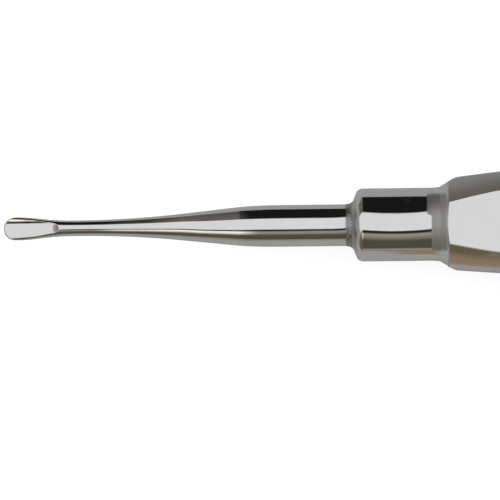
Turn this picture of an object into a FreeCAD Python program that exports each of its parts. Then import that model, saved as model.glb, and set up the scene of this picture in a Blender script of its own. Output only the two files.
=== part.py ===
# Root elevator: a gouge blade on a tapered shank, brazed into a faceted pear-shaped handle.
# The instrument's axis is X with the tip at low X, the scoop faces +Z, and the handle lies on
# one of its broad flats. Lengths are in millimetres.
import FreeCAD, Part
import math
import os
import re

import Sketcher

# Stations along the axis are measured from the tip.
SIZES = {
    "total_length": 155.0,
    # Blade sections: half width, height of the unscooped face and depth of the back.
    "edge_x": 0.0, "edge_half_width": 1.47, "edge_face": 0.52, "edge_back": 0.06,
    "wide_x": 2.2, "wide_half_width": 1.575, "wide_face": 0.70, "wide_back": 0.62,
    "middle_x": 5.6, "middle_half_width": 1.29, "middle_face": 0.90, "middle_back": 0.92,
    "throat_x": 7.9, "throat_half_width": 1.105, "throat_face": 1.02, "throat_back": 1.04,
    "tip_radius": 1.56,
    # Scoop ground into the blade's face.
    "scoop_radius": 3.2, "scoop_floor": 0.10, "scoop_bend_x": 3.2, "scoop_bend_radius": 9.5,
    "scoop_bend_angle": 60.0,
    # Shank.
    "neck_x": 10.1, "neck_radius": 1.073,
    "flare_x": 24.4, "flare_radius": 1.82,
    "cone_x": 32.3, "cone_radius": 2.655,
    "shank_x": 37.5, "shank_radius": 2.85,
    # Joint between shank and handle.
    "seat_x": 47.0, "tang_radius": 2.3, "tang_length": 12.0, "tang_chamfer": 0.3,
    "braze_gap": 0.05, "tang_end_gap": 0.5, "drill_point_angle": 118.0,
    # Nose and collar.
    "nose_radius": 2.92,
    "nose_cone_x": 47.95, "nose_cone_radius": 3.44, "braze_fillet_radius": 1.0,
    "shoulder_x": 48.5, "shoulder_radius": 4.48, "shoulder_round": 1.1,
    "collar_x": 49.35, "collar_radius": 5.0, "collar_end_x": 58.5,
    "root_x": 59.75, "root_radius": 5.10, "root_hollow_radius": 8.5,
    # Start of the grip, where its flats rise out of the turned neck.
    "grip_x": 60.75, "grip_radius": 5.72, "grip_end_angle": 65.0,
    "blank_margin": 0.45,
    # Broad flats, side flats and diagonal facets: distance from the axis at the neck, at the
    # belly and at the butt, where each reaches the straight belly, and the angle of its break
    # at the belly's two ends.
    "broad_neck": 5.74, "broad_belly": 8.4, "broad_butt": 6.5, "broad_belly_x": 94.0,
    "side_neck": 5.74, "side_belly": 8.6, "side_butt": 7.3, "side_belly_x": 98.0,
    "diagonal_neck": 6.08, "diagonal_belly": 9.8, "diagonal_butt": 8.2, "diagonal_belly_x": 90.0,
    "broad_break": 2.5, "side_break": 0.0, "diagonal_break": 0.0,
    "side_step_x": 61.95, "side_step": 6.36,
    "crease_round": 0.3,
    # Round heel into which the facets fade, and the shallow cap that closes it. The lengths
    # are measured from the butt.
    "fall_length": 37.0, "taper_length": 31.0,
    "heel_length": 4.5, "heel_radius": 7.8, "heel_turn": 63.2,
    "cap_edge_radius": 5.0, "cap_radius": 14.0,
}

# The round blank just encloses the grip's creases at the belly.
BLANK_RADIUS = "(sqrt(side_belly^2 + (sqrt(2) * diagonal_belly - side_belly)^2) + blank_margin)"

doc = FreeCAD.newDocument("root_elevator")
sheet = doc.addObject("Spreadsheet::Sheet", "Sizes")
for row, (alias, size) in enumerate(SIZES.items(), start=1):
    sheet.set(f"A{row}", alias)
    sheet.set(f"B{row}", str(size))
    sheet.setAlias(f"B{row}", alias)
doc.recompute()

WORD = re.compile(r"[a-z]\w*")


def bound(expression):
    """The expression with every size read from the sheet."""
    return WORD.sub(lambda word: f"Sizes.{word[0]}" if word[0] in SIZES else word[0], expression)


def number(expression):
    value = sheet.evalExpression(bound(expression))
    return float(getattr(value, "Value", value))


def new_body(label):
    """A body whose own X axis is the instrument's axis, lifted onto the broad flat."""
    body = doc.addObject("PartDesign::Body", label)
    body.Label = label
    body.setExpression("Placement.Base.x", bound("-total_length / 2"))
    body.setExpression("Placement.Base.z", bound("broad_belly"))
    return body


def origin_feature(body, role):
    return next(item for item in body.Origin.OriginFeatures if item.Role == role)


def new_sketch(body, name, plane, turn=0.0):
    """A sketch on one of the body's planes, turned about its own horizontal axis."""
    sketch = body.newObject("Sketcher::SketchObject", name)
    sketch.AttachmentSupport = (origin_feature(body, plane), [""])
    sketch.MapMode = "FlatFace"
    tilt = FreeCAD.Rotation(FreeCAD.Vector(1, 0, 0), turn)
    sketch.AttachmentOffset = FreeCAD.Placement(FreeCAD.Vector(0, 0, 0), tilt)
    return sketch


def dimension(sketch, kind, *geometry, size):
    index = sketch.addConstraint(Sketcher.Constraint(kind, *geometry, number(size)))
    sketch.setExpression(f"Constraints[{index}]", bound(size))


def arc_between(start, end, radius, turn):
    """A minor arc from start to end that turns left (turn 1) or right (turn -1)."""
    chord = end - start
    rise = math.sqrt(max(radius ** 2 - (chord.Length / 2) ** 2, 0.0))
    left = FreeCAD.Vector(-chord.y, chord.x, 0).normalize()
    centre = (start + end) / 2 + left * (rise * turn)
    first, last = (start, end) if turn > 0 else (end, start)
    angles = [math.atan2(point.y - centre.y, point.x - centre.x) for point in (first, last)]
    circle = Part.Circle(centre, FreeCAD.Vector(0, 0, 1), radius)
    return Part.ArcOfCircle(circle, *angles)


def draw_outline(sketch, corners, bends=None, closed=True):
    """Lines and arcs through the corners. bends gives an arc's radius and turn for the side
    that starts at a corner of that name; every other side is straight."""
    bends = bends or {}
    names = list(corners)
    points = [FreeCAD.Vector(number(x), number(y), 0) for x, y in corners.values()]
    count = len(names) if closed else len(names) - 1
    ends = []
    for side in range(count):
        start, end = points[side], points[(side + 1) % len(points)]
        if names[side] in bends:
            radius, turn = bends[names[side]]
            arc = sketch.addGeometry(arc_between(start, end, number(radius), turn), False)
            dimension(sketch, "Radius", arc, size=radius)
            ends.append(((arc, 1), (arc, 2)) if turn > 0 else ((arc, 2), (arc, 1)))
        else:
            line = sketch.addGeometry(Part.LineSegment(start, end), False)
            ends.append(((line, 1), (line, 2)))
    for side in range(count if closed else count - 1):
        following = ends[(side + 1) % count][0]
        sketch.addConstraint(Sketcher.Constraint("Coincident", *ends[side][1], *following))
    places = [pair[0] for pair in ends] + ([] if closed else [ends[-1][1]])
    for place, (x, y) in zip(places, corners.values()):
        dimension(sketch, "DistanceX", *place, size=x)
        dimension(sketch, "DistanceY", *place, size=y)
    return sketch


def arc_radius(run, rise, slope="0"):
    """Radius of an arc that moves off by rise over run, one end of which slopes by that many
    degrees to the axis."""
    chord = f"sqrt(({run})^2 + ({rise})^2)"
    return f"{chord} / (2 * sin(atan(({rise}) / ({run})) - ({slope}) * 1 deg))"


def revolve(body, name, sketch):
    feature = body.newObject("PartDesign::Revolution", name)
    feature.Profile = sketch
    feature.ReferenceAxis = (sketch, ["H_Axis"])
    feature.Angle = 360
    return feature


def blade_section(body, station):
    """An oval across the blade: half width across it, face height above, back depth below."""
    sketch = new_sketch(body, f"{station}_section", "YZ_Plane")
    sketch.setExpression("AttachmentOffset.Base.z", bound(f"{station}_x"))
    face, back = f"{station}_face", f"{station}_back"
    centre = FreeCAD.Vector(0, number(f"({face} - {back}) / 2"), 0)
    width, height = number(f"{station}_half_width"), number(f"({face} + {back}) / 2")
    oval = sketch.addGeometry(Part.Ellipse(centre + FreeCAD.Vector(width, 0, 0),
                                           centre + FreeCAD.Vector(0, height, 0), centre), False)
    sketch.exposeInternalGeometry(oval)
    major, minor = oval + 1, oval + 2
    sketch.addConstraint(Sketcher.Constraint("Horizontal", major))
    dimension(sketch, "Distance", major, size=f"2 * {station}_half_width")
    dimension(sketch, "Distance", minor, size=f"{face} + {back}")
    dimension(sketch, "DistanceX", oval, 3, size="0")
    dimension(sketch, "DistanceY", oval, 3, size=f"({face} - {back}) / 2")
    return sketch


def neck_section(body):
    sketch = new_sketch(body, "neck_section", "YZ_Plane")
    sketch.setExpression("AttachmentOffset.Base.z", bound("neck_x"))
    origin, normal = FreeCAD.Vector(0, 0, 0), FreeCAD.Vector(0, 0, 1)
    circle = sketch.addGeometry(Part.Circle(origin, normal, number("neck_radius")), False)
    sketch.addConstraint(Sketcher.Constraint("Coincident", circle, 3, -1, 1))
    dimension(sketch, "Radius", circle, size="neck_radius")
    return sketch


def make_shank(body):
    """Slender neck, long hollow flare, straight cone, plain shank and the tang behind it."""
    corners = {
        "axis_front": ("neck_x", "0"),
        "neck": ("neck_x", "neck_radius"),
        "flare": ("flare_x", "flare_radius"),
        "cone": ("cone_x", "cone_radius"),
        "shank": ("shank_x", "shank_radius"),
        "seat": ("seat_x", "shank_radius"),
        "tang_root": ("seat_x", "tang_radius"),
        "tang_bevel": ("seat_x + tang_length - tang_chamfer", "tang_radius"),
        "tang_end": ("seat_x + tang_length", "tang_radius - tang_chamfer"),
        "axis_back": ("seat_x + tang_length", "0"),
    }
    bends = {
        "neck": (arc_radius("flare_x - neck_x", "flare_radius - neck_radius"), 1),
        "cone": (arc_radius("shank_x - cone_x", "shank_radius - cone_radius"), -1),
    }
    sketch = draw_outline(new_sketch(body, "shank_profile", "XZ_Plane"), corners, bends)
    return revolve(body, "shank", sketch)


def make_blade(body):
    """The shank's neck flattens and widens into the blade, whose back rises to a thin tip."""
    loft = body.newObject("PartDesign::AdditiveLoft", "blade")
    loft.Profile = neck_section(body)
    loft.Sections = [blade_section(body, name) for name in ("throat", "middle", "wide", "edge")]
    return loft


def cut_scoop(body):
    """A round groove that runs level from the tip and then climbs out of the blade's face."""
    axis_height = "scoop_floor + scoop_radius"
    climb = "scoop_bend_radius - scoop_radius"
    lead = "edge_x - tip_radius"
    corners = {
        "start": (lead, axis_height),
        "bend": ("scoop_bend_x", axis_height),
        "exit": (f"scoop_bend_x + ({climb}) * sin(scoop_bend_angle * 1 deg)",
                 f"{axis_height} + ({climb}) * (1 - cos(scoop_bend_angle * 1 deg))"),
    }
    path = draw_outline(new_sketch(body, "scoop_path", "XZ_Plane"), corners,
                        {"bend": (climb, 1)}, closed=False)
    profile = new_sketch(body, "scoop_section", "YZ_Plane")
    profile.setExpression("AttachmentOffset.Base.z", bound(lead))
    centre = FreeCAD.Vector(0, number(axis_height), 0)
    wheel = Part.Circle(centre, FreeCAD.Vector(0, 0, 1), number("scoop_radius"))
    circle = profile.addGeometry(wheel, False)
    dimension(profile, "DistanceX", circle, 3, size="0")
    dimension(profile, "DistanceY", circle, 3, size=axis_height)
    dimension(profile, "Radius", circle, size="scoop_radius")
    scoop = body.newObject("PartDesign::SubtractivePipe", "scoop")
    scoop.Profile = profile
    scoop.Spine = path
    return scoop


def round_tip(body):
    """Everything outside the tip's round outline is ground away."""
    ahead, beside = "edge_x - tip_radius", "2 * wide_half_width"
    corners = {
        "upper": ("tip_radius", "tip_radius"),
        "nose": ("edge_x", "0"),
        "lower": ("tip_radius", "-tip_radius"),
        "lower_side": ("tip_radius", f"-{beside}"),
        "lower_front": (ahead, f"-{beside}"),
        "upper_front": (ahead, beside),
        "upper_side": ("tip_radius", beside),
    }
    bends = {"upper": ("tip_radius", 1), "nose": ("tip_radius", 1)}
    outline = draw_outline(new_sketch(body, "tip_outline", "XY_Plane"), corners, bends)
    pocket = body.newObject("PartDesign::Pocket", "round_tip")
    pocket.Profile = outline
    pocket.SideType = "Symmetric"
    pocket.Type = "ThroughAll"
    return pocket


def make_working_end():
    body = new_body("working_end")
    make_shank(body)
    make_blade(body)
    cut_scoop(body)
    round_tip(body)
    return body


def make_blank(body):
    """The handle before grinding: bored nose, collar and hollow neck, turned on the end of a
    round bar that just encloses the grip's creases."""
    bore = "tang_radius + braze_gap"
    bore_end = "seat_x + tang_length + tang_end_gap"
    grip_run = f"({BLANK_RADIUS} - grip_radius) / tan(grip_end_angle * 1 deg)"
    corners = {
        "bore_mouth": ("seat_x", bore),
        "nose": ("seat_x", "nose_radius"),
        "nose_cone": ("nose_cone_x", "nose_cone_radius"),
        "shoulder": ("shoulder_x", "shoulder_radius"),
        "collar": ("collar_x", "collar_radius"),
        "collar_end": ("collar_end_x", "collar_radius"),
        "root": ("root_x", "root_radius"),
        "grip": ("grip_x", "grip_radius"),
        "bar": (f"grip_x + {grip_run}", BLANK_RADIUS),
        "bar_end": ("total_length", BLANK_RADIUS),
        "bar_axis": ("total_length", "0"),
        "drill_point": (f"{bore_end} + ({bore}) / tan(drill_point_angle / 2 * 1 deg)", "0"),
        "bore_end": (bore_end, bore),
    }
    bends = {
        "nose": ("braze_fillet_radius", 1),
        "shoulder": ("shoulder_round", -1),
        "collar_end": ("root_hollow_radius", 1),
    }
    sketch = draw_outline(new_sketch(body, "blank_profile", "XZ_Plane"), corners, bends)
    return revolve(body, "blank", sketch)


def grind_facets(body, family, name, plane, turn=0.0, step=None):
    """Grind two opposite facets. Each climbs from the neck, runs straight along the belly and
    falls towards the butt. A step gives the station and height of a steeper rise at the neck."""
    lead = "grip_x - (root_x - collar_end_x) / 2"
    above, behind = f"2 * {BLANK_RADIUS}", f"total_length + {BLANK_RADIUS}"
    neck, belly, butt = f"{family}_neck", f"{family}_belly", f"{family}_butt"
    ends = f"{family}_break"
    start_x, start = step or ("grip_x", neck)
    climb_run, climb_rise = f"{family}_belly_x - {start_x}", f"{belly} - {start}"
    slope = f"({start} - {neck}) / ({start_x} - grip_x)" if step else \
        f"tan(2 * atan(({climb_rise}) / ({climb_run})) - {ends} * 1 deg)"
    corners = {"lead": (lead, f"{neck} - ({slope}) * (grip_x - ({lead}))")}
    corners.update({
        "start": (start_x, start),
        "belly": (f"{family}_belly_x", belly),
        "belly_end": ("total_length - fall_length", belly),
        "butt": ("total_length", butt),
        "behind_low": (behind, butt),
        "behind_high": (behind, above),
        "lead_high": (lead, above),
    })
    bends = {
        "start": (arc_radius(climb_run, climb_rise, ends), -1),
        "belly_end": (arc_radius("fall_length", f"{belly} - {butt}", ends), -1),
    }
    sketch = new_sketch(body, f"{name}_profile", plane, turn)
    draw_outline(sketch, corners, bends)
    draw_outline(sketch, {corner: (x, f"-({y})") for corner, (x, y) in corners.items()},
                 {corner: (radius, -turn_side) for corner, (radius, turn_side) in bends.items()})
    pocket = body.newObject("PartDesign::Pocket", f"{name}_facets")
    pocket.Profile = sketch
    pocket.SideType = "Symmetric"
    pocket.Type = "ThroughAll"
    doc.recompute()
    return pocket


def soften_creases(body):
    """Polishing rounds the creases along the grip, but not the short ones beside the steep
    rise of the side flats."""
    base = body.Tip
    start, reach = number("root_x"), number("2 * (side_step_x - grip_x)")
    creases = [f"Edge{index}" for index, edge in enumerate(base.Shape.Edges, start=1)
               if edge.BoundBox.XMin > start and edge.BoundBox.XLength > reach]
    fillet = body.newObject("PartDesign::Fillet", "crease_rounding")
    fillet.Base = (base, creases)
    fillet.setExpression("Radius", bound("crease_round"))
    body.Tip = fillet
    return fillet


def turn_heel(body):
    """The facets fade into a long taper, which ends in a round heel and a shallow cap."""
    taper_x = "total_length - taper_length"
    above, behind = f"2 * {BLANK_RADIUS}", f"total_length + {BLANK_RADIUS}"
    cap_depth = "cap_radius - sqrt(cap_radius^2 - cap_edge_radius^2)"
    heel_chord = f"sqrt((heel_length - ({cap_depth}))^2 + (heel_radius - cap_edge_radius)^2)"
    corners = {
        "taper": (taper_x, BLANK_RADIUS),
        "heel": ("total_length - heel_length", "heel_radius"),
        "cap": (f"total_length - ({cap_depth})", "cap_edge_radius"),
        "butt": ("total_length", "0"),
        "behind_low": (behind, "0"),
        "behind_high": (behind, above),
        "taper_high": (taper_x, above),
    }
    bends = {
        "heel": (f"{heel_chord} / (2 * sin(heel_turn / 2 * 1 deg))", -1),
        "cap": ("cap_radius", -1),
    }
    sketch = draw_outline(new_sketch(body, "heel_profile", "XZ_Plane"), corners, bends)
    groove = body.newObject("PartDesign::Groove", "heel")
    groove.Profile = sketch
    groove.ReferenceAxis = (sketch, ["H_Axis"])
    groove.Angle = 360
    return groove


def make_handle():
    body = new_body("handle")
    make_blank(body)
    grind_facets(body, "broad", "broad", "XZ_Plane")
    grind_facets(body, "side", "side", "XY_Plane", step=("side_step_x", "side_step"))
    grind_facets(body, "diagonal", "rising_diagonal", "XZ_Plane", 45)
    grind_facets(body, "diagonal", "falling_diagonal", "XZ_Plane", -45)
    soften_creases(body)
    doc.recompute()
    turn_heel(body)
    return body


sub_parts = [make_working_end(), make_handle()]
doc.recompute()

for item in doc.Objects:
    if "Invalid" in item.State or "Error" in item.State:
        raise RuntimeError(f"{item.Label} could not be built")

os.makedirs("parts", exist_ok=True)
for part in sub_parts:
    shape = part.Shape
    if shape.isNull() or not shape.isValid() or len(shape.Solids) != 1:
        raise RuntimeError(f"{part.Label} is not one sound solid")
    shape.exportStep(f"parts/{part.Label}.step")
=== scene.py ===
"""Looks of the root elevator: polished steel blade and shank brazed into a faceted handle."""

import math

import bpy
import numpy as np
from mathutils import Matrix, Vector


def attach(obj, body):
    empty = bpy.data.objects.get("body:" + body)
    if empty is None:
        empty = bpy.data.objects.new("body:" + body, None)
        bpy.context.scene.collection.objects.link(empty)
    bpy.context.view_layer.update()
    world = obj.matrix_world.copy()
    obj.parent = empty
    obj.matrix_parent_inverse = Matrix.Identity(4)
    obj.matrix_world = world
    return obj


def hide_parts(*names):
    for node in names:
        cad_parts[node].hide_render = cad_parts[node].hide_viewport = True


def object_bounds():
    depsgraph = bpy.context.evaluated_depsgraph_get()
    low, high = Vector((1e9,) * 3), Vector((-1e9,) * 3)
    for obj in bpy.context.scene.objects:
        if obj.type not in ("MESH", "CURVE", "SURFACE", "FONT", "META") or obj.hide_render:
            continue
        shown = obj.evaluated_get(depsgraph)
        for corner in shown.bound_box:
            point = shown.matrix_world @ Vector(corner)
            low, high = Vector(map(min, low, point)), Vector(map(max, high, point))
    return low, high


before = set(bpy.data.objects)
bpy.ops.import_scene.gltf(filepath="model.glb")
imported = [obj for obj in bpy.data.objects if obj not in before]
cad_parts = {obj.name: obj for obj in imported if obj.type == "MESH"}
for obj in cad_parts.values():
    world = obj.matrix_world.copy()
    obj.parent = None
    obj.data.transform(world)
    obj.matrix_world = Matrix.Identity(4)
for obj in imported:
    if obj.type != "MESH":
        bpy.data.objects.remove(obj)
cad_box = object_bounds()

# Lengths are in millimetres, and stations are measured along the axis from the tip. The
# overall length and the axis's height come from the frame.
METRE = 1000.0
TOTAL = round((cad_box[1][0] - cad_box[0][0]) * METRE, 3)
AXIS_HEIGHT = round((cad_box[1][2] + cad_box[0][2]) / 2 * METRE, 3)

# Blade sections: half width, height of the unscooped face and depth of the back.
BLADE_STATIONS = np.array([0.0, 2.2, 5.6, 7.9, 10.1])
HALF_WIDTHS = np.array([1.47, 1.575, 1.29, 1.105, 1.073])
FACES = np.array([0.52, 0.70, 0.90, 1.02, 1.073])
BACKS = np.array([0.06, 0.62, 0.92, 1.04, 1.073])
TIP_RADIUS = 1.56

# Corners of the shank: station and radius.
NECK, FLARE, CONE, SHANK, SEAT = (10.1, 1.073), (24.4, 1.82), (32.3, 2.655), (37.5, 2.85), (47.3, 2.85)

# The scoop's lowest line rises from the tip, and its end is a short ramp. Its cross curve
# opens a little towards the end. The blade is turned a few degrees off the handle's flats.
SCOOP_STATIONS = np.array([0.0, 1.64, 2.88, 4.25, 5.62, 6.6, 7.3])
SCOOP_HEIGHTS = np.array([0.06, 0.177, 0.27, 0.365, 0.56, 0.70, 0.85])
SCOOP_END, SCOOP_REACH = 7.5, 0.4
RAMP_HEIGHT, RAMP_SLOPE, RAMP_CURVE, RAMP_LENGTH, RAMP_BLEND = 1.0, 0.65, 0.3, 0.9, 0.05
SCOOP_CURVE, END_CURVE, CURVE_CHANGE = 3.5, 4.0, (5.8, 7.2)
RIM_REACH = 0.016
TIP_BEVEL, BEVEL_SLOPE, BEVEL_FADE, THINNEST = 0.15, 1.25, 0.7, 0.02
BLADE_TURN = 3.0

# Points across the blade's face, each side wall and the back, and how closely points crowd
# towards an edge.
TOP, WALL, BACK = 150, 5, 44
EDGE_CROWDING, FLAT_CROWDING = 1.5, 1.7

# Facets of the grip: distance from the axis at the neck, the belly and the butt, where the
# straight belly starts, and the angle of the break at its ends.
BROAD = {"neck": 5.74, "belly": 8.4, "butt": 6.5, "belly_x": 94.0, "angle": 2.5}
SIDE = {"neck": 5.74, "belly": 8.6, "butt": 7.3, "belly_x": 98.0, "angle": 0.0}
DIAGONAL = {"neck": 6.08, "belly": 9.8, "butt": 8.2, "belly_x": 90.0, "angle": 0.0}
GRIP = (60.75, 5.72)
SIDE_STEP = (61.95, 6.36)
FALL_LENGTH, TAPER_LENGTH = 37.0, 31.0
BLANK_MARGIN = 0.45
CREASE = math.hypot(SIDE["belly"], math.sqrt(2) * DIAGONAL["belly"] - SIDE["belly"])
BLANK_RADIUS = CREASE + BLANK_MARGIN

# How far the creases, the heel and the grip's front are blended, and the points across half
# a flat and across a diagonal.
CREASE_REACH, HEEL_REACH, FRONT_REACH, FRONT_END, FACET_LEAD = 0.10, 0.12, 0.05, 70.0, 0.3
FACET_HALF, FACET_DIAGONAL = 11, 20

# The diagonals are pillowed to this radius, within a half width. The near side is ground
# deeper in front: from nothing to the full depth and back to nothing.
PILLOW, PILLOW_HALF = 60.0, 6.0
NEAR_GRIND, NEAR_GRIND_STATIONS = 0.28, (61.0, 67.7, 98.0)

# A facet reaches no direction that it meets at less than this cosine.
GRAZING, NO_FACET = 0.2, 99.0


# Profiles

def arc_points(start, end, count, radius, turn):
    """Points of a minor arc after start, up to end, that turns left (1) or right (-1)."""
    start, end = np.array(start, float), np.array(end, float)
    chord = end - start
    length = np.hypot(*chord)
    rise = math.sqrt(max(radius ** 2 - (length / 2) ** 2, 0.0))
    centre = (start + end) / 2 + np.array([-chord[1], chord[0]]) / length * rise * turn
    first = math.atan2(*(start - centre)[::-1])
    sweep = 2 * math.asin(min(1.0, length / 2 / radius)) * turn
    angles = first + sweep * np.linspace(0, 1, count + 1)[1:]
    return [(centre[0] + radius * math.cos(a), centre[1] + radius * math.sin(a)) for a in angles]


def line_points(start, end, count):
    """Points of a straight line after start, up to end."""
    share = np.linspace(0, 1, count + 1)[1:, None]
    return [tuple(p) for p in np.array(start, float) + share * (np.array(end, float) - start)]


def follow(start, *steps):
    """Points from start along lines and arcs. A step is an end and a count of points, and for
    an arc its radius and turn."""
    points = [start]
    for end, count, *bend in steps:
        points += arc_points(start, end, count, *bend) if bend else line_points(start, end, count)
        start = end
    return points


def arc_radius(start, end, slope=0.0):
    """Radius of an arc whose flatter end lies slope degrees off the axis's direction."""
    run, rise = abs(end[0] - start[0]), abs(end[1] - start[1])
    return math.hypot(run, rise) / (2 * math.sin(math.atan2(rise, run) - math.radians(slope)))


def smooth_min(a, b, reach):
    """The lesser of a and b, with the corner between them rounded over reach."""
    near = np.clip(reach - np.abs(a - b), 0, None)
    return np.minimum(a, b) - near * near / (4 * reach)


def spline(xs, ys):
    """Natural cubic spline through the stations."""
    n = len(xs)
    h = np.diff(xs)
    a = np.zeros((n, n))
    b = np.zeros(n)
    a[0, 0] = a[-1, -1] = 1
    for i in range(1, n - 1):
        a[i, i - 1], a[i, i], a[i, i + 1] = h[i - 1], 2 * (h[i - 1] + h[i]), h[i]
        b[i] = 6 * ((ys[i + 1] - ys[i]) / h[i] - (ys[i] - ys[i - 1]) / h[i - 1])
    m = np.linalg.solve(a, b)

    def value(x):
        i = int(np.clip(np.searchsorted(xs, x) - 1, 0, n - 2))
        before, after = xs[i + 1] - x, x - xs[i]
        bent = (m[i] * before ** 3 + m[i + 1] * after ** 3) / (6 * h[i])
        return bent + (ys[i] / h[i] - m[i] * h[i] / 6) * before \
            + (ys[i + 1] / h[i] - m[i + 1] * h[i] / 6) * after
    return value


def crowded(count, power):
    """Values from -1 to 1 that crowd towards both ends."""
    even = np.linspace(-1, 1, count + 1)
    return np.sign(even) * (1 - (1 - np.abs(even)) ** power)


# Meshes

def skin(rows, columns):
    """Faces over a grid of closed rings; two points after them close the ends."""
    faces = []
    tip, end, last = rows * columns, rows * columns + 1, (rows - 1) * columns
    for here in range(0, last, columns):
        there = here + columns
        for column in range(columns):
            beside = (column + 1) % columns
            faces.append((here + column, here + beside, there + beside, there + column))
    for column in range(columns):
        beside = (column + 1) % columns
        faces.append((tip, beside, column))
        faces.append((end, last + column, last + beside))
    return faces


def mesh_object(name, rings, ends, material, node):
    """A closed skin over the rings, which rides on the body and replaces the CAD node."""
    points = [point for ring in rings for point in ring] + list(ends)
    metres = np.array(points, float) / METRE + np.array([-TOTAL / 2, 0.0, AXIS_HEIGHT]) / METRE
    mesh = bpy.data.meshes.new(name)
    mesh.from_pydata(metres.tolist(), [], skin(len(rings), len(rings[0])))
    mesh.validate()
    mesh.shade_smooth()
    mesh.materials.append(material)
    obj = bpy.data.objects.new(name, mesh)
    bpy.context.scene.collection.objects.link(obj)
    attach(obj, "root")
    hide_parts(node)


# Working end

width_at = spline(BLADE_STATIONS, HALF_WIDTHS)
face_at = spline(BLADE_STATIONS, FACES)
back_at = spline(BLADE_STATIONS, BACKS)
rise_at = spline(SCOOP_STATIONS, SCOOP_HEIGHTS)
shank_outline = np.array(follow(NECK, (FLARE, 60, arc_radius(NECK, FLARE), 1), (CONE, 30),
                                (SHANK, 30, arc_radius(CONE, SHANK), -1), (SEAT, 40)))


def scoop_height(s):
    """Height of the scoop's lowest line, where the long rise turns into the end ramp."""
    past = s - SCOOP_END
    ramp = RAMP_HEIGHT + RAMP_SLOPE * past + RAMP_CURVE * past * past if past > -RAMP_LENGTH else 0.0
    return -float(smooth_min(-rise_at(s), -ramp, RAMP_BLEND))


def blade_ring(s):
    """One closed ring across the blade or shank at a station, from the +Y side over the top."""
    if s < NECK[0]:
        width, face, back = width_at(s), face_at(s), back_at(s)
    else:
        width = face = back = float(np.interp(s, shank_outline[:, 0], shank_outline[:, 1]))
    middle, height = (face - back) / 2, (face + back) / 2
    in_tip = s < TIP_RADIUS
    limit = math.sqrt(max(TIP_RADIUS ** 2 - (s - TIP_RADIUS) ** 2, 0.0)) if in_tip else width
    side = math.acos(min(1.0, limit / width))
    angles = math.pi / 2 + (math.pi / 2 - side) * crowded(TOP, EDGE_CROWDING)
    y_top, z_top = width * np.cos(angles), middle + height * np.sin(angles)
    if s < SCOOP_END + SCOOP_REACH:
        curve = float(np.interp(s, CURVE_CHANGE, (SCOOP_CURVE, END_CURVE)))
        z_top = smooth_min(z_top, scoop_height(s) + y_top ** 2 / (2 * curve), RIM_REACH)
    if in_tip:
        inset = TIP_RADIUS - np.hypot(TIP_RADIUS - s, y_top)
        bevel = TIP_BEVEL * (1 - BEVEL_FADE * (s / TIP_RADIUS) ** 2)
        lowest = middle - height * math.sin(side) + THINNEST
        z_top = np.maximum(z_top - BEVEL_SLOPE * np.clip(bevel - inset, 0, None), lowest)
    angles = -side - (math.pi - 2 * side) * np.linspace(1, 0, BACK + 1)
    y_back, z_back = width * np.cos(angles), middle + height * np.sin(angles)
    share = np.linspace(0, 1, WALL + 1)[1:-1]
    far_wall = z_top[-1] + (z_back[0] - z_top[-1]) * share
    near_wall = z_back[-1] + (z_top[0] - z_back[-1]) * share
    y = np.concatenate([y_top, np.full(len(share), y_top[-1]), y_back, np.full(len(share), y_top[0])])
    z = np.concatenate([z_top, far_wall, z_back, near_wall])
    turn = math.radians(BLADE_TURN)
    turned = zip(y * math.cos(turn) + z * math.sin(turn), z * math.cos(turn) - y * math.sin(turn))
    return [(s, across, up) for across, up in turned]


def make_working_end(material):
    """The scooped blade and shank. Rings stand closest at the tip and on the scoop's ramp."""
    first_ring, before_ramp, past_ramp = 0.02, SCOOP_END - 1.2, SCOOP_END + 0.1
    tip = TIP_RADIUS * (1 - np.cos(np.linspace(first_ring, math.pi / 2, 60)))
    spans = [(TIP_RADIUS, before_ramp, 80), (before_ramp, past_ramp, 90), (past_ramp, NECK[0], 40)]
    blade = [np.linspace(*span)[1:] for span in spans]
    stations = np.concatenate([tip, *blade, shank_outline[1:, 0]])
    rings = [blade_ring(s) for s in stations]
    _, across, up = np.mean(rings[0], axis=0)
    mesh_object("working_end_polished", rings, [(0.0, across, up), (stations[-1], 0.0, 0.0)],
                material, "working_end")


# Handle

def facet_profile(facet, *step):
    """Distance of a facet from the axis along the grip. A step ends a steeper rise at the neck."""
    *steep, start = [(GRIP[0], facet["neck"]), *step]
    belly, belly_end = (facet["belly_x"], facet["belly"]), (TOTAL - FALL_LENGTH, facet["belly"])
    butt = (TOTAL, facet["butt"])
    climb = (belly, 80, arc_radius(start, belly, facet["angle"]), -1)
    fall = (butt, 60, arc_radius(belly_end, butt, facet["angle"]), -1)
    points = np.array(steep + follow(start, climb, (belly_end, 1), fall))
    return lambda s: float(np.interp(s, points[:, 0], points[:, 1]))


broad_at = facet_profile(BROAD)
side_at = facet_profile(SIDE, SIDE_STEP)
diagonal_at = facet_profile(DIAGONAL)


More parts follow.
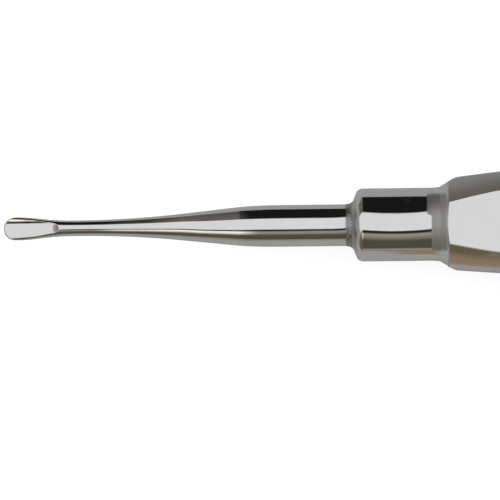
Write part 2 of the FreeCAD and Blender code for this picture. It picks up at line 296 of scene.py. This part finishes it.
def handle_outline():
    """The turned outline: nose, collar, hollow neck, steep front, bar, taper, heel and cap."""
    collar_radius, fillet, shoulder_radius, hollow = 5.0, 1.0, 1.1, 8.5
    heel_length, heel_height, heel_turn, cap_edge, cap_radius = 4.5, 7.8, 63.2, 5.0, 14.0
    front_angle = 65
    cap = (TOTAL - cap_radius + math.sqrt(cap_radius ** 2 - cap_edge ** 2), cap_edge)
    heel = (TOTAL - heel_length, heel_height)
    heel_radius = math.dist(heel, cap) / (2 * math.sin(math.radians(heel_turn / 2)))
    bar_x = GRIP[0] + (BLANK_RADIUS - GRIP[1]) / math.tan(math.radians(front_angle))
    bar, taper = (bar_x, BLANK_RADIUS), (TOTAL - TAPER_LENGTH, BLANK_RADIUS)
    mouth, nose, nose_cone, shoulder = (47.0, 2.80), (47.0, 2.92), (47.95, 3.44), (48.36, 4.54)
    collar, collar_end, root = (49.25, collar_radius), (58.5, collar_radius), (59.75, 5.10)
    front_low, front_high = (61.0, 6.60), (62.1, 8.61)
    points = follow(mouth, (nose, 1), (nose_cone, 14, fillet, 1), (shoulder, 8),
                    (collar, 20, shoulder_radius, -1), (collar_end, 36), (root, 14, hollow, 1),
                    (GRIP, 14), (front_low, 14), (front_high, 14), (bar, 4), (taper, 110),
                    (heel, 120), (cap, 40, heel_radius, -1), ((TOTAL, 0.0), 24, cap_radius, -1))
    return points[:-1]


def quadrant(first, second):
    """Angles from the broad flat's middle to the side flat's middle, denser at the creases."""
    toward = 1 - (1 - np.linspace(0, 1, FACET_HALF + 1)) ** FLAT_CROWDING
    across = crowded(FACET_DIAGONAL, EDGE_CROWDING)
    return np.concatenate([first * toward[:-1], first + (second - first) * (across[:-1] + 1) / 2,
                           second + (math.pi / 2 - second) * (1 - toward[::-1])[:-1]])


def facet_reach(angles, broad, side, diagonal):
    """How far the facets let the grip reach in each direction."""
    facets = np.full(len(angles), NO_FACET)
    for turn, distance in ((0, broad), (90, side), (45, diagonal), (-45, diagonal)):
        for flip in (0, 180):
            off = angles - math.radians(turn + flip)
            lean = np.cos(off)
            ray = np.where(lean > GRAZING, distance / np.clip(lean, GRAZING, None), NO_FACET)
            if abs(turn) == 45:
                ray = ray - np.clip(ray * np.sin(off), -PILLOW_HALF, PILLOW_HALF) ** 2 / (2 * PILLOW)
            facets = smooth_min(facets, ray, CREASE_REACH)
    return facets


def handle_ring(s, radius):
    """One closed ring across the handle: the turned outline, cut back to the facets."""
    broad, side, diagonal = (at(max(s, GRIP[0])) for at in (broad_at, side_at, diagonal_at))
    first = math.atan2(math.sqrt(2) * diagonal - broad, broad)
    second = math.atan2(side, math.sqrt(2) * diagonal - side)
    quarter = quadrant(first, second)
    half = np.concatenate([quarter, [math.pi / 2], math.pi - quarter[::-1]])[:-1]
    angles = np.concatenate([half, math.pi + half])
    reach = np.full(len(angles), float(radius))
    if s >= GRIP[0] - FACET_LEAD:
        blend = FRONT_REACH if s < FRONT_END else HEEL_REACH
        reach = smooth_min(reach, facet_reach(angles, broad, side, diagonal), blend)
    across, up = reach * np.sin(angles), reach * np.cos(angles)
    deeper = NEAR_GRIND * float(np.interp(s, NEAR_GRIND_STATIONS, (0.0, 1.0, 0.0)))
    across = across + deeper * (1 - across / side) / 2
    return [(s, y, z) for y, z in zip(across, up)]


def make_handle(material):
    """The faceted handle, from the nose to the butt."""
    outline = handle_outline()
    rings = [handle_ring(s, r) for s, r in outline]
    mesh_object("handle_polished", rings, [(outline[0][0], 0.0, 0.0), (TOTAL, 0.0, 0.0)],
                material, "handle")


# Node helpers

class Graph:
    """Short ways to write a node tree."""

    def __init__(self, tree):
        self.tree = tree

    def node(self, kind, **settings):
        made = self.tree.nodes.new(kind)
        for key, value in settings.items():
            setattr(made, key, value)
        return made

    def feed(self, socket, value):
        if isinstance(value, bpy.types.NodeSocket):
            self.tree.links.new(value, socket)
        else:
            socket.default_value = value

    def fed(self, made, values):
        """The node's first output, with the values fed to its first sockets."""
        for socket, value in zip(made.inputs, values):
            self.feed(socket, value)
        return made.outputs[0]

    def math(self, operation, *values):
        return self.fed(self.node("ShaderNodeMath", operation=operation), values)

    def vector(self, operation, *values):
        return self.fed(self.node("ShaderNodeVectorMath", operation=operation), values)

    def product(self, first, *others):
        for other in others:
            first = self.math("MULTIPLY", first, other)
        return first

    def split(self, vector):
        made = self.node("ShaderNodeSeparateXYZ")
        self.feed(made.inputs[0], vector)
        return made.outputs

    def ramp(self, value, low, high, start=0.0, end=1.0):
        """Smooth step of value from low to high, between start and end."""
        made = self.node("ShaderNodeMapRange", interpolation_type="SMOOTHSTEP")
        sockets = ("Value", "From Min", "From Max", "To Min", "To Max")
        for socket, item in zip(sockets, (value, low, high, start, end)):
            self.feed(made.inputs[socket], item)
        return made.outputs["Result"]

    def fall(self, value, low, high):
        """Smooth step from 1 at low to 0 at high."""
        return self.ramp(value, low, high, 1.0, 0.0)

    def window(self, value, low, high, soft):
        """1 between low and high and 0 outside, with soft edges."""
        return self.product(self.ramp(value, low - soft, low + soft),
                            self.fall(value, high - soft, high + soft))

    def mix(self, factor, first, second):
        made = self.node("ShaderNodeMix", data_type="RGBA")
        for socket, value in zip((0, 6, 7), (factor, first, second)):
            self.feed(made.inputs[socket], value)
        return made.outputs[2]

    def noise(self, vector, scale, detail, roughness=0.5):
        made = self.node("ShaderNodeTexNoise")
        self.feed(made.inputs["Vector"], vector)
        made.inputs["Scale"].default_value = scale
        made.inputs["Detail"].default_value = detail
        made.inputs["Roughness"].default_value = roughness
        return made.outputs["Fac"]


def grey(value):
    return (value, value, value, 1.0)


# Steel. A band along the axis is its first and last station and its softness, and a band
# across is measured from the axis towards +Y. The satin starts earlier on the far side.
POLISH, POLISH_RANGE = 0.05, 0.025
BRAZE_RING, NOSE, NOSE_ROUGH = (46.8, 47.85, 0.2), (47.9, 48.4, 0.15), 0.32
SATIN_START, SATIN_END, SATIN_ACROSS = (1.0, 1.4, 58.55, 57.95), (60.5, 60.75), (-3.7, 4.1, 0.35)
SATIN_SOFT, SATIN_ROUGH, SATIN_DARK = 0.12, 0.55, 0.7
SCUFF_SOFT, SCUFF_ROUGH = 0.15, 0.34
SCUFFS = (((54.7, 55.9), (2.7, 3.6)), ((34.9, 35.6), (1.7, 2.3)), ((59.6, 60.5), (-3.2, -0.6)))
BUMP_STRENGTH, BUMP_DEPTH, CLOUD_RELIEF, BRAZE_RELIEF = 0.3, 0.00002, 0.18, 2.0

# How far the shading normal leans, and where.
COLLAR, COLLAR_MIDDLE, COLLAR_HALF = (48.3, 58.6, 0.3), 53.7, 4.4
COLLAR_LEAN, COLLAR_BARREL, SHANK_LEAN, NECK_LEAN, BOWL_LEAN = 0.12, 0.045, 0.058, 0.022, 0.60
COLLAR_SIDE, BARREL_SIDE, SHANK_SIDE = (-0.75, 0.30), (-0.5, 0.5, 0.15), (-0.5, 0.6, 0.2)
PLAIN_SHANK, SLENDER_NECK = (26.0, 46.8, 2.0), (12.5, 18.0, 2.5)
BOWL_START, BOWL_END, BOWL_ACROSS = (6.1, 7.25), (7.5, 7.6), (-0.50, 0.56, 0.12)
BOWL_MIDDLE, BOWL_ROUNDING = 0.03, 1.2


def sideways_lean(g, side, station):
    """Neither the shank nor the slightly barrelled collar is turned quite true, so both lean a
    few degrees to +Y. Side is the normal's own share of Y."""
    from_middle = g.math("DIVIDE", g.math("SUBTRACT", station, COLLAR_MIDDLE), COLLAR_HALF)
    barrel = g.product(from_middle, from_middle, COLLAR_BARREL, g.window(side, *BARREL_SIDE))
    collar = g.math("SUBTRACT", g.ramp(side, *COLLAR_SIDE, 0.0, COLLAR_LEAN), barrel)
    collar = g.product(collar, g.window(station, *COLLAR))
    shank = g.product(g.window(side, *SHANK_SIDE), g.window(station, *PLAIN_SHANK), SHANK_LEAN)
    return g.math("ADD", collar, shank)


def forward_lean(g, station, across):
    """The scoop's blunt end and the slender neck lean towards the tip."""
    off_middle = g.math("SUBTRACT", across, BOWL_MIDDLE)
    rounded = g.math("ADD", station, g.product(off_middle, off_middle, BOWL_ROUNDING))
    bowl = g.product(g.ramp(station, *BOWL_START), g.fall(rounded, *BOWL_END),
                     g.window(across, *BOWL_ACROSS), -BOWL_LEAN)
    return g.math("ADD", bowl, g.product(g.window(station, *SLENDER_NECK), -NECK_LEAN))


def leaning_normal(g, station, across):
    """The shading normal with both leans added."""
    normal = g.node("ShaderNodeNewGeometry").outputs["Normal"]
    lean = g.node("ShaderNodeCombineXYZ")
    g.feed(lean.inputs[0], forward_lean(g, station, across))
    g.feed(lean.inputs[1], sideways_lean(g, g.split(normal)[1], station))
    return g.vector("NORMALIZE", g.vector("ADD", normal, lean.outputs[0]))


def scuff_places(g, station, across):
    """Small marks on the far side of the collar and of the shank, and in the satin hollow."""
    places = [g.product(g.window(station, *along, SCUFF_SOFT), g.window(across, *beside, SCUFF_SOFT))
              for along, beside in SCUFFS]
    return g.math("ADD", g.math("ADD", places[0], places[1]), places[2])


def steel(name):
    """Mirror-polished steel, satin in the turned hollow behind the collar, with a dull ring of
    braze where the shank enters the nose, faint smudges and a few scuffs."""
    material = bpy.data.materials.new(name)
    material.use_nodes = True
    g = Graph(material.node_tree)
    shader = material.node_tree.nodes["Principled BSDF"]
    place = g.node("ShaderNodeTexCoord").outputs["Object"]
    x, y, _ = g.split(place)
    station = g.math("ADD", g.product(x, METRE), TOTAL / 2)
    across = g.product(y, METRE)

    smudge = g.noise(place, 160.0, 3.0)
    cloud = g.noise(place, 900.0, 4.0, 0.6)
    blotch = g.noise(place, 2200.0, 3.0, 0.6)
    scratch = g.noise(place, 5200.0, 3.0, 0.7)

    ring = g.window(station, *BRAZE_RING)
    past_start = g.math("SUBTRACT", station, g.ramp(across, *SATIN_START))
    satin = g.product(g.ramp(past_start, -SATIN_SOFT, SATIN_SOFT), g.fall(station, *SATIN_END),
                      g.window(across, *SATIN_ACROSS))
    scuff = g.product(g.ramp(scratch, 0.50, 0.66), scuff_places(g, station, across))

    clean = g.mix(smudge, (0.66, 0.655, 0.64, 1.0), (0.72, 0.715, 0.70, 1.0))
    braze = g.mix(g.ramp(blotch, 0.35, 0.65), (0.24, 0.275, 0.25, 1.0), (0.42, 0.43, 0.39, 1.0))
    colour = g.mix(ring, clean, braze)
    colour = g.mix(g.product(satin, SATIN_DARK), colour, (0.34, 0.335, 0.32, 1.0))
    g.feed(shader.inputs["Base Color"], colour)
    shader.inputs["Metallic"].default_value = 1.0

    rough = g.ramp(smudge, 0.35, 0.75, POLISH, POLISH + POLISH_RANGE)
    for rougher in (g.product(ring, g.ramp(blotch, 0.3, 0.7, 0.30, 0.5)), g.product(satin, SATIN_ROUGH),
                    g.product(g.window(station, *NOSE), NOSE_ROUGH), g.product(scuff, SCUFF_ROUGH)):
        rough = g.math("MAXIMUM", rough, rougher)
    g.feed(shader.inputs["Roughness"], rough)

    bump = g.node("ShaderNodeBump")
    bump.inputs["Strength"].default_value = BUMP_STRENGTH
    bump.inputs["Distance"].default_value = BUMP_DEPTH
    relief = g.math("ADD", g.product(cloud, CLOUD_RELIEF), g.product(blotch, ring, BRAZE_RELIEF))
    g.feed(bump.inputs["Height"], relief)
    g.feed(bump.inputs["Normal"], leaning_normal(g, station, across))
    g.feed(shader.inputs["Normal"], bump.outputs[0])
    return material


# Studio. Directions are angles from straight up, in degrees: across the instrument towards
# +Y, and along it towards +X. Each pair is where a change starts and ends. The light is wider
# and the gap narrower where the blade's slope mirrors them.
LIGHT_NEAR, LIGHT_FAR = (-15.0, -12.5), (44.5, 49.5)
LIGHT_LEFT, LIGHT_RIGHT = (-70.0, -52.0), (11.0, 17.0)
FAR_BELOW, FAR_BLACK = (92.0, 99.0), (-11.0, -4.5)
GAP_EDGE, GAP_BLACK, GAP_PALE = (-27.0, -22.0), (-12.0, -7.0), (-26.0, -19.0)
CREAM_FALL, CREAM_BRIGHT, CREAM_SOFT = (-55.0, -31.0), (-17.0, -6.5), 3.0
DARK_LEFT, DARK_RIGHT = (-15.0, -8.0), (2.0, 6.0)
LOW_STRIP, LOW_LEFT = (-85.0, -80.0), (-14.5, -11.5)
BLADE_SLOPE, LIGHT_WIDER, GAP_NARROWER = (-9.0, -4.0), 2.2, 0.8
OVERHEAD, LEFT, RIGHT, RIGHT_UP = (-2.0, 8.0), (-62.0, -40.0), (20.0, 32.0), (0.10, 0.75)


def near_card(g, across, along):
    """In front of the object: a dark gap beside the light, a cream card that falls off to a
    dark one, and a paler strip low down."""
    gap = g.mix(g.ramp(along, *GAP_BLACK), (0.09, 0.08, 0.065, 1.0), (0.03, 0.025, 0.02, 1.0))
    gap = g.mix(g.ramp(along, *GAP_PALE), (0.90, 0.88, 0.84, 1.0), gap)
    bright = g.window(along, *CREAM_BRIGHT, CREAM_SOFT)
    cream = g.mix(bright, (0.38, 0.35, 0.30, 1.0), (1.3, 1.25, 1.15, 1.0))
    dark = g.mix(g.ramp(along, *DARK_LEFT), (0.17, 0.135, 0.09, 1.0), (0.10, 0.092, 0.07, 1.0))
    dark = g.mix(g.ramp(along, *DARK_RIGHT), dark, (0.24, 0.235, 0.21, 1.0))
    low = g.product(g.fall(across, *LOW_STRIP), g.ramp(along, *LOW_LEFT))
    dark = g.mix(low, dark, (0.36, 0.335, 0.30, 1.0))
    card = g.mix(g.ramp(across, *CREAM_FALL), dark, cream)
    moved = g.math("ADD", across, g.ramp(along, *BLADE_SLOPE, GAP_NARROWER, 0.0))
    return g.mix(g.ramp(moved, *GAP_EDGE), card, gap)


def far_card(g, across, along):
    """Behind the object: a black card, dim towards the left and paler below the table's edge."""
    dim = g.mix(g.ramp(across, *FAR_BELOW), (0.17, 0.155, 0.14, 1.0), grey(0.30))
    return g.mix(g.ramp(along, *FAR_BLACK), dim, grey(0.012))


def make_world():
    """A soft overhead light with cards round it, as the polished steel mirrors them."""
    world = bpy.data.worlds.new("studio")
    world.use_nodes = True
    bpy.context.scene.world = world
    g = Graph(world.node_tree)
    x, y, z = g.split(g.node("ShaderNodeTexCoord").outputs["Generated"])
    across = g.product(g.math("ARCTAN2", y, z), 180 / math.pi)
    along = g.product(g.math("ARCSINE", x), 180 / math.pi)
    moved = g.math("ADD", across, g.ramp(along, *BLADE_SLOPE, LIGHT_WIDER, 0.0))
    light = g.product(g.ramp(moved, *LIGHT_NEAR), g.fall(across, *LIGHT_FAR),
                      g.ramp(along, *LIGHT_LEFT), g.fall(along, *LIGHT_RIGHT))
    sides = g.mix(g.ramp(across, *OVERHEAD), near_card(g, across, along), far_card(g, across, along))
    sides = g.mix(g.fall(along, *LEFT), sides, grey(0.40))
    right = g.mix(g.ramp(z, *RIGHT_UP), grey(0.16), grey(0.85))
    sides = g.mix(g.ramp(along, *RIGHT), sides, right)
    background = world.node_tree.nodes["Background"]
    g.feed(background.inputs["Color"], g.mix(light, sides, (0.96, 0.965, 0.985, 1.0)))
    background.inputs["Strength"].default_value = 1.0


# Floor, in metres: a pale floor to the camera. The steel mirrors it as a mid-grey floor with a painted
# reflection: brown patches in front of the collar and of the grip, and open beyond its far edge.
FLOOR_SIZE = 6.0
FLOOR_GREY, FLOOR_GLOW, MIRRORED_GREY, PAINTED_REFLECTION_BROWN = 0.35, 0.78, 0.44, (0.37, 0.275, 0.18, 1.0)
FAR_EDGE = (0.038, 0.046)
COLLAR_PATCH_Y, COLLAR_PATCH_X = (-0.036, -0.029), (-0.0255, -0.0205)
GRIP_PATCH_SLANT, GRIP_PATCH_OFFSET, GRIP_PATCH_SOFT = 2.9, 0.32, 0.01
GRIP_PATCH_SIDE_SLANT, GRIP_PATCH_SIDE = 0.24, (0.006, 0.014)


def painted_reflection_patch(g, x, y):
    """Painted reflection: where the floor that the steel mirrors is brown, near the collar's front and
    further out by the grip.
    """
    collar = g.product(g.fall(y, *COLLAR_PATCH_Y), g.ramp(x, *COLLAR_PATCH_X))
    near_line = g.math("ADD", g.math("ADD", y, g.product(x, GRIP_PATCH_SLANT)), GRIP_PATCH_OFFSET)
    side_line = g.math("SUBTRACT", x, g.product(y, GRIP_PATCH_SIDE_SLANT))
    grip = g.product(g.fall(near_line, -GRIP_PATCH_SOFT, GRIP_PATCH_SOFT),
                     g.fall(side_line, *GRIP_PATCH_SIDE))
    return g.math("MAXIMUM", collar, grip)


def make_floor():
    """One plane that the camera sees as a pale floor and the steel mirrors as mid-grey with painted
    brown reflection patches.
    """
    material = bpy.data.materials.new("floor_pale")
    material.use_nodes = True
    tree = material.node_tree
    g = Graph(tree)
    shader = tree.nodes["Principled BSDF"]
    shader.inputs["Roughness"].default_value = 0.9
    shader.inputs["Specular IOR Level"].default_value = 0.0
    path = g.node("ShaderNodeLightPath").outputs
    x, y, _ = g.split(g.node("ShaderNodeNewGeometry").outputs["Position"])
    # What the steel mirrors: a mid-grey floor with painted brown reflection patches.
    mirrored_with_painted_reflection = g.mix(painted_reflection_patch(g, x, y), grey(MIRRORED_GREY), PAINTED_REFLECTION_BROWN)
    g.feed(shader.inputs["Base Color"], g.mix(path["Is Camera Ray"], mirrored_with_painted_reflection, grey(FLOOR_GREY)))
    shader.inputs["Emission Color"].default_value = grey(1.0)
    g.feed(shader.inputs["Emission Strength"], g.product(path["Is Camera Ray"], FLOOR_GLOW))
    clear = g.node("ShaderNodeBsdfTransparent")
    open_beyond = g.product(path["Is Glossy Ray"], g.ramp(y, *FAR_EDGE))
    surface = g.fed(g.node("ShaderNodeMixShader"), (open_beyond, shader.outputs[0], clear.outputs[0]))
    g.feed(tree.nodes["Material Output"].inputs["Surface"], surface)
    bpy.ops.mesh.primitive_plane_add(size=FLOOR_SIZE, location=(0, 0, 0))
    floor = bpy.context.object
    floor.name = "floor"
    floor.data.materials.append(material)


def make_lamp():
    """A wide soft lamp that lights the floor and is not mirrored."""
    data = bpy.data.lights.new("overhead", "AREA")
    data.shape = "RECTANGLE"
    data.size = 1.2
    data.size_y = 0.9
    data.energy = 3.6
    lamp = bpy.data.objects.new("overhead", data)
    bpy.context.scene.collection.objects.link(lamp)
    lamp.location = (0.0, 0.1, 0.7)
    lamp.visible_glossy = False


# Camera: picture size, pixels to a millimetre at the axis, the tip's column, and how far
# beside the axis the picture's middle lies.
PICTURE_PIXELS, PIXELS_PER_MM, TIP_PIXEL = 500, 7.3, 4.0
CENTRE_Y = -3.25
DISTANCE, ELEVATION, ROLL = 1500.0, 89.0, 0.66
SENSOR = 36.0


def make_camera():
    """A long lens that looks almost straight down, rolled a little about its line of sight."""
    data = bpy.data.cameras.new("camera")
    data.sensor_width = SENSOR
    data.lens = DISTANCE * SENSOR / (PICTURE_PIXELS / PIXELS_PER_MM)
    data.clip_start = 0.01
    data.clip_end = 10.0
    camera = bpy.data.objects.new("camera", data)
    bpy.context.scene.collection.objects.link(camera)
    tilt, roll = math.radians(ELEVATION), math.radians(ROLL)
    back = Vector((0, -math.cos(tilt), math.sin(tilt)))
    up = Vector((0, math.sin(tilt), math.cos(tilt)))
    right = Vector((1, 0, 0))
    turned_right = math.cos(roll) * right - math.sin(roll) * up
    turned_up = math.sin(roll) * right + math.cos(roll) * up
    centre_x = (PICTURE_PIXELS / 2 - TIP_PIXEL) / PIXELS_PER_MM - TOTAL / 2
    place = (Vector((centre_x, CENTRE_Y, AXIS_HEIGHT)) + back * DISTANCE) / METRE
    facing = Matrix((turned_right, turned_up, back)).transposed().to_4x4()
    camera.matrix_world = Matrix.Translation(place) @ facing
    bpy.context.scene.camera = camera


for cad_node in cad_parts.values():
    cad_node.data.materials.clear()
    cad_node.data.materials.append(steel("steel_" + cad_node.name))
make_working_end(steel("steel_blade"))
make_handle(steel("steel_handle"))
make_world()
make_floor()
make_lamp()
make_camera()
bpy.context.scene.view_settings.view_transform = "Standard"
